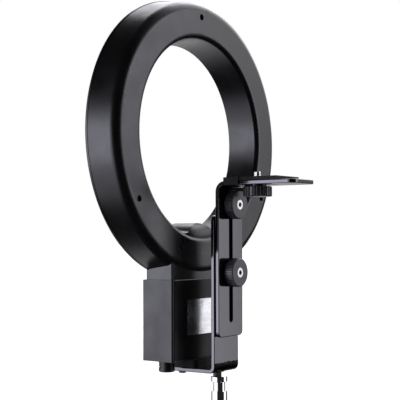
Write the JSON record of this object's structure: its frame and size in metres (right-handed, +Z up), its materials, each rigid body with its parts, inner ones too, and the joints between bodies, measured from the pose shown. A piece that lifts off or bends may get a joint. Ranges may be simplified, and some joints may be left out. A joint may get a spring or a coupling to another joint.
{
  "type": "led ring light",
  "caption": "Ring-shaped studio light with a driver box below it, on a slotted two-strap bracket with clamp knobs, a padded platform and a stand spigot.",
  "frame": {"origin": "centre of the stand spigot's bottom face", "axes": "+Z up along the spigot, +Y the way the light shines, +X to the right seen from behind"},
  "size_m": [0.28, 0.1525, 0.415],
  "materials": {
    "shell_plastic": "satin moulded black",
    "cover_plastic": "semi-gloss black",
    "box_plastic": "fine-textured black",
    "rim_plastic": "satin black",
    "opal_diffuser": "opal, slightly frosted",
    "board_metal": "bare",
    "led_board_white": "white solder mask",
    "led_yellow": "phosphor",
    "board_green": "green solder mask",
    "component_black": "moulded",
    "capacitor_sleeve": "sleeved",
    "ferrite": "sintered",
    "winding_tape": "yellow tape",
    "terminal_green": "moulded",
    "wire_red_black": "insulated wire",
    "label_silver": "brushed foil",
    "strap_black": "semi-gloss black enamel",
    "knob_black": "satin, ridged edge",
    "dimmer_black": "satin",
    "pad_rubber": "matt",
    "screw_black": "blackened",
    "bright_steel": "turned",
    "spigot_chrome": "bright plated",
    "brass": "turned"
  },
  "bodies": {
    "root": {"ring_rear_shell": "shell_plastic", "ring_screws": "screw_black", "led_carrier_plate": "board_metal", "led_board": "led_board_white", "led_packages": "led_yellow", "front_outer_rim": "rim_plastic", "front_inner_rim": "rim_plastic", "diffuser": "opal_diffuser", "led_leads": "wire_red_black", "neck_screws": "screw_black", "driver_box": "box_plastic", "driver_box_cover": "cover_plastic", "case_screws": "screw_black", "rating_label": "label_silver", "driver_board": "board_green", "board_standoffs": "bright_steel", "driver_transformer": "ferrite", "driver_winding": "winding_tape", "driver_capacitors": "capacitor_sleeve", "driver_chips": "component_black", "output_terminal": "terminal_green", "dimmer_pot": "bright_steel", "dimmer_nut": "bright_steel", "power_inlet": "component_black", "inlet_nut": "bright_steel", "lower_bracket": "strap_black", "lower_clamp_nut": "bright_steel", "slide_washer": "component_black", "leg_pad": "pad_rubber", "leg_screws": "screw_black", "leg_nuts": "bright_steel", "stand_spigot": "spigot_chrome", "spigot_nut": "spigot_chrome"},
    "camera_bracket": {"camera_bracket": "strap_black", "camera_pad": "pad_rubber", "upper_clamp_nut": "bright_steel"},
    "lower_clamp": {"lower_clamp_knob": "knob_black", "lower_clamp_stud": "bright_steel", "lower_clamp_washer": "screw_black"},
    "upper_clamp": {"upper_clamp_knob": "knob_black", "upper_clamp_stud": "bright_steel", "upper_clamp_washer": "screw_black"},
    "camera_screw_carriage": {"camera_screw_washer": "screw_black"},
    "camera_screw": {"camera_knob": "knob_black", "camera_screw": "bright_steel"},
    "dimmer": {"dimmer_knob": "dimmer_black", "dimmer_shaft": "bright_steel"}
  },
  "joints": [
    {"name": "camera_bracket_slide", "type": "slide", "parent": "root", "child": "camera_bracket", "axis": [0, 0, 1], "range_m": [-0.0035, 0.045]},
    {"name": "lower_clamp_turn", "type": "hinge", "parent": "root", "child": "lower_clamp", "pos_m": [0, -0.0257, 0.1414], "axis": [0, -1, 0], "continuous": true},
    {"name": "upper_clamp_turn", "type": "hinge", "parent": "camera_bracket", "child": "upper_clamp", "pos_m": [0, -0.0257, 0.2075], "axis": [0, -1, 0], "continuous": true},
    {"name": "camera_screw_slide", "type": "slide", "parent": "camera_bracket", "child": "camera_screw_carriage", "axis": [0, -1, 0], "range_m": [-0.005, 0.02]},
    {"name": "camera_screw_turn", "type": "hinge", "parent": "camera_screw_carriage", "child": "camera_screw", "pos_m": [0, -0.0459, 0.22], "axis": [0, 0, 1], "continuous": true},
    {"name": "dimmer_turn", "type": "hinge", "parent": "root", "child": "dimmer", "pos_m": [-0.0389, 0.0348, 0.05], "axis": [0, 0, -1], "range_deg": [-140, 140]}
  ]
}
